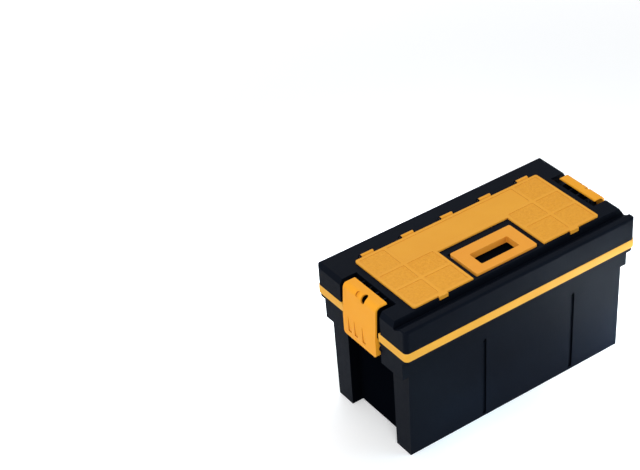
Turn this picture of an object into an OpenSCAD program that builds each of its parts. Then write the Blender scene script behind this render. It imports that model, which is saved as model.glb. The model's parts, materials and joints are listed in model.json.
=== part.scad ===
// Hard tool case: tub base, two end latches, two lift-out trays and a lid with a built-in organiser.
// Millimetres. X runs along the length, -Y is the front, +Z is up, the floor is z = 0.

/* [Case] */
// Length over the tray rim
case_length = 600; // [590:5:640]
// Width over the tray rim
case_width = 302; // [298:2:320]
// Corner radius of the rims seen from above
corner_radius = 10; // [6:1:12]
// Wall thickness of the base and the lid
wall = 3; // [2.6:0.2:3.2]

/* [Base] */
// Height of the base rim above the floor
rim_height = 271; // [265:1:290]
// Thickness of the turned-out base rim
rim_thickness = 9; // [7:0.5:10]
// Step from the tray rim in to the base rim
rim_inset = 2; // [1:0.5:2]
// Step from the tray rim in to the base end walls
end_inset = 19; // [16:1:24]
// Step from the tray rim in to the end skirts
skirt_inset = 4; // [3:0.5:8]
// Height of the end skirts below the rim
skirt_height = 58; // [50:1:62]
// Step from the tray rim in to the top of the long walls
side_inset_top = 19; // [17:1:20]
// Step from the tray rim in to the foot of the long walls
side_inset_foot = 25; // [22:1:28]
// Height of the floor above the table
foot_height = 4; // [3:0.5:6]
// Width of the recess in each end wall
recess_width = 156; // [150:2:170]
// Step from the tray rim in to the back of the end recess
recess_inset = 44; // [43:0.5:45]
// Width of the latch pocket in each end skirt
pocket_width = 121; // [120:1:124]
// Width of the upright grooves in the long walls
groove_width = 9; // [4:0.5:10]
// Depth of the upright grooves
groove_depth = 4; // [3:0.5:5]
// Height of the grooves from the table
groove_height = 210; // [190:5:220]
// Height of the sill left under the grooves
groove_foot = 6; // [5:1:12]
// Place of the left front groove along the length
groove_left = -88; // [-120:1:-60]
// Place of the right front groove along the length
groove_right = 148; // [120:1:170]

/* [Latches] */
// Width of each latch
latch_width = 110; // [108:1:115]
// How much narrower the latch is at its hook, each side
latch_taper = 0; // [0:0.5:4]
// How far the latch plate leans in at the top
latch_lean = 4; // [2:0.5:5]
// Thickness of the latch plate
latch_plate = 4; // [3:0.5:4]
// How far the latch hooks in over the lid, from the plate's outer face
hook_reach = 33; // [31:1:34]
// Height of the latch pivot below the base rim
pivot_drop = 25; // [24:1:27]
// Distance from the tray rim in to the latch pivot
pivot_inset = 10; // [9.5:0.5:10.5]
// Length of the latch below its pivot
latch_tail = 21; // [16:1:21]
// Radius of the latch barrel
barrel_radius = 6; // [5.5:0.5:6.5]
// Radius of the latch hinge pin
latch_pin_radius = 2.5; // [2:0.25:3]
// Depth of the stiffening ribs along the latch sides
latch_rib = 10; // [6:1:11]
// Width of the padlock slot over the latch bend
padlock_width = 13; // [8:0.5:14]
// Length of the padlock slot
padlock_length = 21; // [14:1:22]
// Place of the padlock slot along the latch width
padlock_place = -11; // [-14:1:-4]

/* [Tool tray] */
// Height of the tray rim band that shows round the closed case
band_height = 20; // [18:1:24]
// Height of the tray upstand inside the lid wall
upstand_height = 6; // [4:1:7]
// Step from the tray rim in to the upstand
upstand_inset = 5; // [5:0.5:6]
// Depth of the tool tray below the top of its band
tray_depth = 61; // [56:1:62]
// Wall thickness of the trays
tray_wall = 2.5; // [2:0.25:3]
// Length of the tray handle
tray_handle_length = 176; // [150:2:200]
// Width of the tray handle bar
tray_handle_width = 26; // [22:1:28]
// Thickness of the tray handle bar
tray_handle_bar = 8; // [6:1:10]
// Radius of the tool holes in the tray handle
tool_hole_radius = 6; // [4:0.5:7]
// Number of tool holes in the tray handle
tool_holes = 6; // [4:1:6]

/* [Lower tray] */
// Clearance between the lower tray and the end walls inside the base
lower_end_gap = 4; // [3:0.5:12]
// Clearance between the foot of the lower tray and the long walls
lower_side_gap = 9; // [8:0.5:14]
// Depth of the lower tray
lower_depth = 42; // [36:1:60]
// Height of the band round the lower tray rim
lower_band = 22; // [16:1:26]
// Place of the loose dividers either side of the middle
divider_place = 82; // [60:1:140]
// Thickness of the loose dividers
divider_thickness = 2; // [1.6:0.2:2.4]

/* [Lid] */
// Step from the tray rim in to the lid wall
lid_inset = 1; // [0.5:0.5:1.5]
// Height of the lid deck above the tray band
lid_height = 56; // [54:1:64]
// Drop from the deck to the top of the front lip
lip_drop = 2; // [1:0.5:4]
// Width of the rounded front lip
lip_width = 20; // [18:1:22]
// Depth of the gutter behind the front lip, below the deck
gutter_depth = 14; // [10:1:15]
// Step from the tray rim in to the front edge of the deck
deck_inset = 44; // [43:0.5:45]
// Width of the bevel at the ends of the deck
end_bevel = 7; // [5:1:9]
// Height of the bevel at the ends of the deck
end_bevel_drop = 12; // [8:1:14]
// Width of the bevel at the back of the deck
back_bevel = 10; // [8:1:11]
// Width of the latch bite in each end of the lid
bite_width = 134; // [132:1:136]
// Step from the tray rim in to the back of the lid bite
bite_inset = 43; // [42:1:45]
// Depth of the organiser wells
well_depth = 38; // [30:1:39]
// Depth of the handle pocket
handle_pocket_depth = 29; // [27:1:32]

/* [Organiser cover] */
// Step from the tray rim in to the ends of the cover
cover_end_inset = 59.5; // [56:0.5:64]
// Step from the front edge of the deck back to the cover
cover_front_gap = 4.5; // [4:0.5:6]
// Step from the cover hinge to the cover's back edge
cover_back_gap = 6; // [6:0.5:8]
// Thickness of the cover in its cells
cover_thickness = 3; // [2.5:0.25:3.5]
// Width of the raised frame and lines round the cells
cover_frame = 7; // [5:0.5:8]
// Gap between the ends of the handle and the notch in the cover
notch_side_gap = 13.5; // [12.5:0.5:15.5]
// Gap between the back of the handle and the notch in the cover
notch_back_gap = 22; // [20:0.5:24]
// Length of the outer cells of the cover
outer_cell = 71.5; // [66:0.5:80]
// Depth of the back cells
back_cell = 72; // [68:0.5:76]
// Depth of the middle cells
middle_cell = 58; // [54:0.5:62]
// Step from the ends of the cover in to the middle of the outer hinge lugs
lug_end_inset = 35.5; // [30:0.5:40]
// Step from the tray rim in to the cover hinge
hinge_inset = 49; // [47:0.5:50]

/* [Carry handle] */
// Length of the handle ring
handle_length = 157; // [150:1:158]
// Depth of the handle ring from front to back
handle_depth = 89; // [86:0.5:91]
// Step from the cover's front line back to the ring
handle_front_gap = 4.5; // [3.5:0.5:6.5]
// Thickness of the ring
handle_thickness = 16; // [14:1:17]
// Length of the finger hole
finger_length = 98; // [90:1:104]
// Width of the ring's back bar
handle_bar_back = 27; // [24:0.5:30]
// Width of the ring's front bar
handle_bar_front = 22; // [18:0.5:26]
// How far the ring stands above the deck
handle_rise = 4; // [3:0.5:6]
// Radius of the handle pivot pins
handle_pin_radius = 3; // [2.5:0.25:3.5]

/* [Hidden] */
$fn = 48;

black = [0.07, 0.08, 0.11];
dark = [0.05, 0.05, 0.07];
yellow = [0.96, 0.6, 0.1];
orange = [0.97, 0.62, 0.14];
steel = [0.62, 0.63, 0.65];

cut = 1;
running_clearance = 0.06;
seat_clearance = 0.05;
half_length = case_length / 2;
half_width = case_width / 2;

skirt_bottom = rim_height - skirt_height;
end_half = half_length - end_inset;
skirt_half = half_length - skirt_inset;
recess_wall = half_length - recess_inset;
side_half_top = half_width - side_inset_top;
side_half_foot = half_width - side_inset_foot;
rim_half_x = half_length - rim_inset;
rim_half_y = half_width - rim_inset;
floor_top = foot_height + wall;
foot_rail = 12;
foot_post = 40;
ledge_end_gap = 14;
ledge_thickness = 3;
ledge_reach = 5;
bracket_drop = 27;

pivot_x = half_length - pivot_inset;
pivot_z = rim_height - pivot_drop;
ear_gap = 1;
ear_lip = 1;
ear_inner = latch_width / 2 + ear_gap;
ear_outer = pocket_width / 2 + wall;
ear_radius = barrel_radius + ear_lip;
pin_margin = 1;

band_top = rim_height + band_height;
deck = band_top + lid_height;
lip_top = deck - lip_drop;
gutter = deck - gutter_depth;
hook_gap = 2;
hook_engage = 2.5;
hook_rise = 3;
hook_top = deck + hook_rise;
hook_underside = hook_top - latch_plate;
hook_tip = half_length + latch_plate - hook_reach;
latch_outer = half_length + latch_plate;
latch_foot = pivot_z - latch_tail;
latch_corner = 7;
hook_corner = 4;
latch_bend = 14;
latch_top_outer = latch_outer - latch_lean;
bend_x = latch_top_outer - latch_bend;
bend_z = hook_top - latch_bend;
bend_chord = (latch_bend - cut) / sqrt(2);
slot_start = 2;
mark_width = 9;
mark_length = 13;
mark_depth = 2.5;
mark_place = 9;
cheek_rise = 10;
gusset_place = 24;
gusset_flare = 8;
gusset_flare_height = 30;
flute_places = [33, 12, -15];
flute_width = 10;
flute_depth = 1.8;
flute_height = 50;
flute_margin = 13;

tray_clearance = 3;
tray_floor = band_top - tray_depth;
tray_body_half_x = skirt_half - wall - tray_clearance;
tray_body_half_y = side_half_at(tray_floor) - wall - tray_clearance;
tray_corner = 6;
upstand_corner = corner_radius - 2;
upstand_top = band_top + upstand_height;
band_ribs = 4;
band_rib_pitch = 64;
tray_bite_x = recess_wall - wall - tray_clearance;
tray_bite_y = ear_outer + tray_clearance;
band_bite_y = pocket_width / 2;
band_bite_x = recess_wall + cut;
upstand_gap = 2;
handle_upright = 4;
handle_foot = 3;
handle_foot_length = 14;
handle_lip = 2;
handle_lip_depth = 16;
hole_margin = 4;

lower_drop = 8;
lower_top = tray_floor - lower_drop;
lower_bottom = lower_top - lower_depth;
ledge_top = lower_top - lower_band;
lower_half_x = recess_wall - wall - lower_end_gap;
lower_half_y = side_half_at(lower_bottom) - wall - lower_side_gap;
lower_flange = 6;
divider_clearance = 0.5;
guide_reach = 3;
guide_thickness = 2;
divider_drop = 7;

lid_half_x = half_length - lid_inset;
lid_half_y = half_width - lid_inset;
deck_front = half_width - deck_inset;
lip_round = 5;
lip_end_bevel = 3;
gutter_slope = 5.5;
gutter_flat = 4.5;
gutter_middle = deck_front + gutter_slope + gutter_flat / 2;
bite_x = half_length - bite_inset;
bite_y = bite_width / 2;
fin_thickness = 3;
fin_places = [-36, 12, 36];
fin_gap = 6;
fin_slope = 19;
fin_outer = half_length - fin_gap;
nib_top = hook_underside - hook_gap;
nib_outer = hook_tip + hook_engage;
eye_thickness = 5;
eye_radius = 3.5;
eye_inset = 12;
eye_drop = 4;

hinge_back = half_width - hinge_inset;
hinge_rise = 2;
hinge_z = deck + hinge_rise;
lug_side_count = 2;
lug_width = 30;
lug_radius = 4;
lug_ear = 3;
lug_gap = 0.5;
ear_trim = 1;
cover_pin_radius = 1.8;
cover_pin_inset = 0.25;
slot_gap = 1;

cover_front = deck_front - cover_front_gap;
cover_back = hinge_back - cover_back_gap;
cover_half = half_length - cover_end_inset;
lug_spacing = (cover_half - lug_end_inset) / lug_side_count;
lug_places = [for (i = [-lug_side_count : lug_side_count]) i * lug_spacing];
handle_half = handle_length / 2;
handle_front = cover_front - handle_front_gap;
handle_back = handle_front - handle_depth;
notch_half = handle_half + notch_side_gap;
notch_back = notch_back_gap - handle_back;
column_place = cover_half - outer_cell;
row_back = cover_back - back_cell;
row_front = row_back - middle_cell;
cover_rise = 0.8;
cell_corner = 3;
cover_corner = 6;
thumb_width = 22;
thumb_shift = 1;
thumb_place = column_place + thumb_shift;
thumb_reach = 5;
thumb_lip = 2.8;
thumb_drop = 5;
thumb_pad = 6;
thumb_rise = 1;
thumb_gap = 1;

well_margin = 7;
well_wall = 2;
well_gap = well_wall / 2;
well_floor = deck - well_depth;
well_rim = deck - wall;
well_half = cover_half - well_margin;
well_front = -cover_front + well_margin;
well_back = cover_back - well_margin;
wing_inner = notch_half + well_margin;
centre_front = max(notch_back + well_margin, row_back + well_gap);
centre_half = column_place - well_gap;

ring_gap = 1.5;
ring_side_gap = 3;
ring_swing_gap = 1;
ring_corner = 4;
finger_corner = 3;
ring_top = deck + handle_rise;
ring_bottom = ring_top - handle_thickness;
ring_middle = ring_top - handle_thickness / 2;
ring_axis_inset = handle_thickness / 2;
ring_axis_y = -handle_back - ring_axis_inset;
pocket_floor = deck - handle_pocket_depth;
pocket_back = ring_axis_y + norm([handle_thickness / 2, ring_axis_inset]) + ring_swing_gap;
pocket_front = -handle_front - ring_gap;
pocket_half = handle_half + ring_side_gap;
cup_side = 7;
cup_half = pocket_half + cup_side;
rest_pad = 5;
rest_pad_inset = 4;
rest_pad_length = 18;
pin_in_ring = 14;
pin_in_cup = 5.5;
bore_end_gap = 0.5;

// Half the width of the base over its leaning long walls, at a height.
function side_half_at(height) = side_half_foot + (side_half_top - side_half_foot) * height / rim_height;

// A box between two corners.
module box(low, high) {
  translate(low)
    cube(high - low);
}

// A flat rectangle between two corners.
module flat_box(low, high) {
  translate(low)
    square(high - low);
}

// A flat outline with rounded corners, centred.
module round_plan(length, width, radius) {
  square([length - 2 * radius, width], center = true);
  square([length, width - 2 * radius], center = true);
  for (x = [-1, 1], y = [-1, 1])
    translate([x * (length / 2 - radius), y * (width / 2 - radius)])
      circle(radius);
}

// An upright block with rounded corners, centred, between two heights.
module round_block(length, width, radius, low, high) {
  translate([0, 0, low])
    linear_extrude(high - low)
      round_plan(length, width, radius);
}

// A flat shape given as depth and height, drawn along the length.
module along_length(half) {
  rotate([90, 0, 90])
    translate([0, 0, -half])
      linear_extrude(2 * half)
        children();
}

// A flat shape given as length and height, drawn across the width between two depths.
module across_width(from, to) {
  translate([0, to, 0])
    rotate([90, 0, 0])
      linear_extrude(to - from)
        children();
}

// A round bar along the length, between two ends.
module bar_along(from, to, place_y, place_z, radius) {
  translate([from, place_y, place_z])
    rotate([0, 90, 0])
      cylinder(r = radius, h = to - from);
}

// A round bar across the width, centred.
module bar_across(place_x, place_z, radius, half) {
  translate([place_x, half, place_z])
    rotate([90, 0, 0])
      cylinder(r = radius, h = 2 * half);
}

// The same thing at both ends.
module both_ends() {
  children();
  mirror([1, 0, 0])
    children();
}

// The same thing at the front and the back.
module both_sides() {
  children();
  mirror([0, 1, 0])
    children();
}

// ---- Base ----

// Wall form of the base, stepped in by an inset, between two heights.
module base_form(inset, low, skirt_low, high) {
  low_half = side_half_at(low) - inset;
  high_half = side_half_at(high) - inset;
  intersection() {
    along_length(half_length)
      polygon([[-low_half, low], [low_half, low], [high_half, high], [-high_half, high]]);
    union() {
      round_block(2 * (end_half - inset), case_width, corner_radius, low, high);
      round_block(2 * (skirt_half - inset), case_width, corner_radius, skirt_low, high);
    }
  }
}

// One upright groove with a round top, kept at an even depth in the leaning wall.
module groove_cut(place) {
  round = groove_width / 2;
  difference() {
    across_width(-half_width, 0) {
      flat_box([place - round, groove_foot], [place + round, groove_height - round]);
      translate([place, groove_height - round])
        circle(round);
    }
    base_form(groove_depth, -2 * cut, skirt_bottom, rim_height);
  }
}

// The wall behind one groove, left standing in the cavity.
module groove_back(place) {
  spread = groove_width / 2 + wall;
  difference() {
    box([place - spread, -half_width, 0], [place + spread, 0, groove_height + wall]);
    base_form(groove_depth + wall, -cut, skirt_bottom, rim_height);
  }
}

// The grooves of the front wall, and the same turned round to the back.
module groove_set() {
  children();
  rotate([0, 0, 180])
    children();
}

// Hollow of the base, leaving the recess and pocket walls standing.
module base_hollow() {
  recess_side = recess_width / 2 + wall;
  difference() {
    base_form(wall, floor_top, skirt_bottom + wall, rim_height + cut);
    both_ends()
      box([recess_wall - wall, -recess_side, 0], [half_length, recess_side, skirt_bottom + wall]);
    both_ends()
      box([recess_wall - wall, -ear_outer, skirt_bottom], [half_length, ear_outer, rim_height + 2 * cut]);
    groove_set() {
      groove_back(groove_left);
      groove_back(groove_right);
    }
  }
}

// Ear that holds one end of a latch hinge pin.
module latch_ear() {
  translate([pivot_x, ear_inner, pivot_z])
    rotate([-90, 0, 0])
      cylinder(r = ear_radius, h = ear_outer - ear_inner);
  box([recess_wall - cut, ear_inner, pivot_z - ear_radius], [pivot_x, ear_outer, pivot_z + ear_radius]);
}

// Ledge along a long wall that carries the lower tray, on its brackets.
module tray_ledge() {
  inner = lower_half_y - ledge_reach;
  half = lower_half_x - ledge_end_gap;
  ledge_low = ledge_top - ledge_thickness;
  intersection() {
    union() {
      box([-half, inner, ledge_low], [half, half_width, ledge_top]);
      for (share = [-1, -1 / 3, 1 / 3, 1])
        translate([share * (half - wall), 0, 0])
          along_length(wall / 2)
            polygon([[inner, ledge_low], [half_width, ledge_low], [half_width, ledge_low - bracket_drop]]);
    }
    base_form(wall - cut, 0, skirt_bottom, rim_height);
  }
}

// Outside of the base, with its skirts and turned-out rim.
module base_shell() {
  difference() {
    union() {
      base_form(0, 0, skirt_bottom, rim_height);
      round_block(2 * rim_half_x, 2 * rim_half_y, corner_radius, rim_height - rim_thickness, rim_height);
    }
    difference() {
      round_block(2 * (rim_half_x - wall), 2 * (rim_half_y - wall), corner_radius - wall,
        rim_height - rim_thickness - cut, rim_height - wall);
      base_form(0, 0, skirt_bottom, rim_height);
    }
    base_hollow();
  }
}

// Recesses in the end walls, latch pockets in the skirts and the gaps between the foot posts.
module end_cuts() {
  both_ends() {
    box([recess_wall, -recess_width / 2, -cut], [half_length, recess_width / 2, skirt_bottom]);
    box([recess_wall, -pocket_width / 2, skirt_bottom - cut],
      [half_length, pocket_width / 2, rim_height + cut]);
    box([end_half - foot_post - cut, -recess_width / 2, -cut], [end_half, recess_width / 2, foot_height]);
  }
}

// Raised middle of the underside, inside the foot rails.
module foot_cut() {
  box([-end_half + foot_post, -side_half_foot + foot_rail, -cut],
    [end_half - foot_post, side_half_foot - foot_rail, foot_height]);
}

module base_tub() {
  color(black)
    difference() {
      union() {
        difference() {
          base_shell();
          end_cuts();
          foot_cut();
          groove_set() {
            groove_cut(groove_left);
            groove_cut(groove_right);
          }
        }
        both_ends()
          both_sides()
            latch_ear();
        both_sides()
          tray_ledge();
      }
      both_ends()
        bar_across(pivot_x, pivot_z, latch_pin_radius + seat_clearance, ear_outer + cut);
    }
}

// ---- Latches ----

// Side view of the latch: upright foot, leaning plate, round bend and hook.
module latch_profile() {
  polygon([[half_length, latch_foot], [latch_outer, latch_foot], [latch_outer, rim_height],
    [latch_top_outer, bend_z], [latch_top_outer - latch_plate, bend_z], [half_length, rim_height]]);
  flat_box([hook_tip, hook_underside], [bend_x, hook_top]);
  intersection() {
    flat_box([bend_x, bend_z], [latch_top_outer, hook_top]);
    translate([bend_x, bend_z])
      difference() {
        circle(latch_bend);
        circle(latch_bend - latch_plate);
      }
  }
}

// Face view of the latch, narrower at the hook, with rounded corners.
module latch_outline() {
  wide = latch_width / 2;
  narrow = wide - latch_taper;
  low = latch_foot + latch_corner;
  high = hook_top - hook_corner;
  polygon([[-wide, low], [-wide, pivot_z + barrel_radius], [-narrow, high], [narrow, high],
    [wide, pivot_z + barrel_radius], [wide, low]]);
  flat_box([-wide + latch_corner, latch_foot], [wide - latch_corner, low + cut]);
  flat_box([-narrow + hook_corner, high - cut], [narrow - hook_corner, hook_top]);
  for (side = [-1, 1]) {
    translate([side * (wide - latch_corner), low])
      circle(latch_corner);
    translate([side * (narrow - hook_corner), high])
      circle(hook_corner);
  }
}

// Cut with round ends, square to the bend, from a distance out of its centre.
module bend_cut(place, width, length, from) {
  reach = (length - width) / 2;
  translate([bend_x, place, bend_z])
    rotate([0, 45, 0])
      translate([0, 0, from]) {
        for (end = [-1, 1])
          translate([end * reach, 0, 0])
            cylinder(r = width / 2, h = latch_bend);
        box([-reach, -width / 2, 0], [reach, width / 2, latch_bend]);
      }
}

// Gusset that joins the barrel, the plate and the hook.
module latch_gusset() {
  inner = half_length - latch_rib;
  across_width(gusset_place, gusset_place + wall)
    intersection() {
      polygon([[half_length + cut, pivot_z - barrel_radius], [pivot_x, pivot_z - barrel_radius],
        [inner, pivot_z], [inner, hook_underside - gusset_flare_height],
        [inner - gusset_flare, hook_underside + cut], [half_length + cut, hook_underside + cut]]);
      polygon([[hook_tip, latch_foot], [latch_outer - cut, latch_foot], [latch_outer - cut, rim_height],
        [latch_top_outer - cut, bend_z], [bend_x + bend_chord, bend_z + bend_chord],
        [bend_x, hook_underside + cut], [hook_tip, hook_underside + cut]]);
    }
}

// Side wall that joins the barrel to the plate.
module latch_cheek() {
  side = latch_width / 2;
  across_width(side - wall, side)
    polygon([[half_length + cut, latch_foot], [pivot_x, latch_foot], [pivot_x - barrel_radius, pivot_z],
      [pivot_x, pivot_z + barrel_radius], [half_length + cut, rim_height + cheek_rise]]);
}

// Flute in the face of the plate, deepest at its foot.
module latch_flute(place) {
  low = latch_foot + flute_margin;
  across_width(place - flute_width / 2, place + flute_width / 2)
    polygon([[latch_outer - flute_depth, low], [latch_outer + cut, low],
      [latch_outer + cut, low + flute_height], [latch_outer, low + flute_height]]);
}

module latch_body() {
  side = latch_width / 2;
  difference() {
    union() {
      intersection() {
        union() {
          across_width(-side, side)
            latch_profile();
          both_sides()
            latch_cheek();
        }
        translate([hook_tip, 0, 0])
          rotate([90, 0, 90])
            linear_extrude(hook_reach)
              latch_outline();
      }
      both_sides()
        latch_gusset();
      bar_across(pivot_x, pivot_z, barrel_radius, side);
      box([pivot_x, -side, pivot_z - barrel_radius], [half_length + cut, side, pivot_z + barrel_radius]);
    }
    bar_across(pivot_x, pivot_z, latch_pin_radius + running_clearance, side + cut);
    bend_cut(padlock_place, padlock_width, padlock_length, slot_start);
    bend_cut(mark_place, mark_width, mark_length, latch_bend - mark_depth);
    for (place = flute_places)
      latch_flute(place);
  }
}

module right_latch() {
  color(yellow)
    latch_body();
}

module left_latch() {
  color(yellow)
    mirror([1, 0, 0])
      latch_body();
}

module latch_pin() {
  bar_across(pivot_x, pivot_z, latch_pin_radius, ear_outer - pin_margin);
}

module right_latch_pin() {
  color(steel)
    latch_pin();
}

module left_latch_pin() {
  color(steel)
    mirror([1, 0, 0])
      latch_pin();
}

// ---- Tool tray ----

// Outside of the tray: rim band, upstand and body.
module tray_form() {
  round_block(case_length, case_width, corner_radius, rim_height, band_top);
  round_block(case_length - 2 * upstand_inset, case_width - 2 * upstand_inset, upstand_corner,
    band_top - cut, upstand_top);
  round_block(2 * tray_body_half_x, 2 * tray_body_half_y, tray_corner, tray_floor, upstand_top);
}

// Inside of the tray body, short of the walls round its end bites.
module tray_inside() {
  inner_side = tray_bite_y + tray_wall;
  difference() {
    round_block(2 * (tray_body_half_x - tray_wall), 2 * (tray_body_half_y - tray_wall),
      tray_corner - tray_wall, tray_floor + tray_wall, upstand_top + cut);
    both_ends()
      box([tray_bite_x - tray_wall, -inner_side, tray_floor],
        [half_length, inner_side, upstand_top + 2 * cut]);
  }
}

// Hollow under the rim band and the upstand, open downwards, between the ribs.
module band_hollow() {
  skirt_half_x = half_length - wall;
  skirt_half_y = half_width - wall;
  bite_side = band_bite_y + wall;
  difference() {
    union() {
      round_block(2 * skirt_half_x, 2 * skirt_half_y, corner_radius - wall,
        rim_height - cut, band_top - tray_wall);
      round_block(2 * (skirt_half_x - upstand_inset), 2 * (skirt_half_y - upstand_inset),
        corner_radius - wall, rim_height - cut, upstand_top - tray_wall);
    }
    round_block(2 * tray_body_half_x, 2 * tray_body_half_y, tray_corner, 0, 2 * rim_height);
    both_ends()
      box([tray_bite_x - tray_wall, -bite_side, 0], [half_length, bite_side, 2 * rim_height]);
    for (i = [-band_ribs : band_ribs])
      box([i * band_rib_pitch - tray_wall / 2, -half_width, rim_height],
        [i * band_rib_pitch + tray_wall / 2, half_width, 2 * rim_height]);
  }
}

// Bites that clear the latch pockets, the latches and the walls of the lid bites.
module tray_bites() {
  bite_wall_y = bite_y + wall + upstand_gap;
  both_ends() {
    box([tray_bite_x, -tray_bite_y, tray_floor - cut], [half_length + cut, tray_bite_y, rim_height]);
    box([band_bite_x, -band_bite_y, rim_height - cut], [half_length + cut, band_bite_y, upstand_top + cut]);
    box([bite_x - wall - upstand_gap, -bite_wall_y, band_top],
      [half_length + cut, bite_wall_y, upstand_top + cut]);
  }
}

module tool_tray() {
  color(yellow)
    difference() {
      tray_form();
      tray_inside();
      band_hollow();
      tray_bites();
    }
}

module tray_handle() {
  half = tray_handle_length / 2;
  side = tray_handle_width / 2;
  floor_z = tray_floor + tray_wall;
  lip_low = upstand_top - handle_lip_depth;
  pitch = (tray_handle_length - 2 * (handle_upright + hole_margin)) / tool_holes;
  color(orange)
    difference() {
      union() {
        box([-half, -side, upstand_top - tray_handle_bar], [half, side, upstand_top]);
        both_ends() {
          box([half - handle_upright, -side, floor_z], [half, side, upstand_top - cut]);
          box([half - handle_upright - handle_foot_length, -side, floor_z],
            [half, side, floor_z + handle_foot]);
        }
        both_sides()
          box([-half + cut, side - handle_lip, lip_low], [half - cut, side, upstand_top - cut]);
      }
      for (i = [0 : tool_holes - 1])
        translate([(i - (tool_holes - 1) / 2) * pitch, 0, upstand_top - tray_handle_bar - cut])
          cylinder(r = tool_hole_radius, h = tray_handle_bar + 2 * cut);
    }
}

// ---- Lower tray ----

module lower_tray() {
  body_x = lower_half_x - lower_flange;
  body_y = lower_half_y - lower_flange;
  guide_step = divider_thickness / 2 + divider_clearance;
  color(dark) {
    difference() {
      union() {
        round_block(2 * lower_half_x, 2 * lower_half_y, tray_corner, ledge_top, lower_top);
        round_block(2 * body_x, 2 * body_y, tray_corner, lower_bottom, lower_top);
      }
      round_block(2 * (body_x - tray_wall), 2 * (body_y - tray_wall), tray_corner - tray_wall,
        lower_bottom + tray_wall, lower_top + cut);
      difference() {
        round_block(2 * (lower_half_x - tray_wall), 2 * (lower_half_y - tray_wall), tray_corner - tray_wall,
          ledge_top - cut, lower_top - tray_wall);
        round_block(2 * body_x, 2 * body_y, tray_corner, 0, lower_top);
      }
    }
    both_sides()
      both_ends()
        for (place = [divider_place - guide_step - guide_thickness, divider_place + guide_step])
          box([place, body_y - tray_wall - guide_reach, lower_bottom + tray_wall - cut],
            [place + guide_thickness, body_y - tray_wall + cut, lower_top - divider_drop]);
  }
}

module divider() {
  half_y = lower_half_y - lower_flange - tray_wall - divider_clearance;
  box([divider_place - divider_thickness / 2, -half_y, lower_bottom + tray_wall],
    [divider_place + divider_thickness / 2, half_y, lower_top - divider_drop]);
}

module right_divider() {
  color(dark)
    divider();
}

module left_divider() {
  color(dark)
    mirror([1, 0, 0])
      divider();
}

// ---- Lid ----

// Cross-section of the lid: rounded front lip, gutter, deck and rounded back edge.
module lid_section() {
  lip_inner = lid_half_y - lip_width;
  round_z = lip_top - lip_round;
  back_y = lid_half_y - back_bevel;
  flat_box([-lid_half_y, band_top], [-lip_inner, round_z]);
  flat_box([-lid_half_y + lip_round, band_top], [-lip_inner - lip_round, lip_top]);
  for (y = [-lid_half_y + lip_round, -lip_inner - lip_round])
    translate([y, round_z])
      circle(lip_round);
  polygon([[-lip_inner - cut, band_top], [-lip_inner - cut, round_z], [-lip_inner, round_z],
    [-deck_front - gutter_slope - gutter_flat, gutter], [-deck_front - gutter_slope, gutter],
    [-deck_front, deck], [back_y, deck], [back_y, band_top]]);
  flat_box([back_y - cut, band_top], [lid_half_y, deck - back_bevel]);
  translate([back_y, deck - back_bevel])
    circle(back_bevel);
}

// End view of the lid with its bevels.
module lid_end_view(bevel, drop) {
  polygon([[-lid_half_x, band_top], [-lid_half_x, deck - drop], [-lid_half_x + bevel, deck],
    [lid_half_x - bevel, deck], [lid_half_x, deck - drop], [lid_half_x, band_top]]);
}

// Outer form of the lid.
module lid_form() {
  intersection() {
    along_length(half_length)
      lid_section();
    union() {
      across_width(-gutter_middle, half_width)
        lid_end_view(end_bevel, end_bevel_drop);
      across_width(-half_width, -gutter_middle)
        lid_end_view(lip_end_bevel, lip_end_bevel + lip_drop);
    }
    round_block(2 * lid_half_x, 2 * lid_half_y, corner_radius, band_top, deck + cut);
  }
}

// Hollow under the lid skin.
module lid_hollow() {
  side_x = lid_half_x - wall;
  side_y = lid_half_y - wall;
  deck_x = side_x - end_bevel;
  box([-side_x, -side_y, band_top - cut], [side_x, side_y, gutter - wall]);
  box([-deck_x, -deck_front + wall, band_top], [deck_x, lid_half_y - back_bevel, deck - wall]);
  box([-deck_x, -side_y, band_top], [deck_x, -lid_half_y + lip_width - wall, lip_top - wall]);
}

// Windows in the deck over the wells and round the handle cup.
module deck_windows() {
  low = deck - wall - cut;
  high = deck + cut;
  box([-well_half, centre_front, low], [well_half, well_back, high]);
  both_ends()
    box([wing_inner, well_front, low], [well_half, well_back, high]);
  box([-cup_half, pocket_front - wall, low], [cup_half, pocket_back + wall, high]);
}

// Slots in the front edge of the deck for the thumb tabs of the cover.
module thumb_slots() {
  half = thumb_width / 2 + thumb_gap;
  both_ends()
    box([thumb_place - half, -deck_front - gutter_slope, deck - thumb_drop - wall],
      [thumb_place + half, -cover_front - thumb_reach + thumb_lip + thumb_gap, deck + cut]);
}

// Walls round one latch bite.
module bite_block() {
  box([bite_x - wall, -bite_y - wall, band_top], [half_length, bite_y + wall, deck]);
}

module bite_cut() {
  box([bite_x, -bite_y, band_top - cut], [half_length + cut, bite_y, deck + 2 * cut]);
}

// Upright fins in the bite, sloped to clear the swinging hook.
module bite_fin(place, thickness) {
  across_width(place - thickness / 2, place + thickness / 2)
    polygon([[bite_x - cut, band_top], [fin_outer, band_top], [fin_outer, nib_top - fin_slope],
      [nib_outer, nib_top], [bite_x - cut, nib_top]]);
}

module padlock_eye() {
  difference() {
    bite_fin(padlock_place, eye_thickness);
    translate([fin_outer - eye_inset, padlock_place, nib_top - fin_slope - eye_drop])
      rotate([90, 0, 0])
        cylinder(r = eye_radius, h = 2 * eye_thickness, center = true);
  }
}

// Block under the deck that backs one hinge slot.
module hinge_block(place) {
  spread = lug_width / 2 + lug_gap + lug_ear + wall;
  reach = lug_radius + slot_gap + wall;
  box([place - spread, hinge_back - reach, hinge_z - reach],
    [place + spread, hinge_back + reach, deck - cut]);
}

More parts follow.
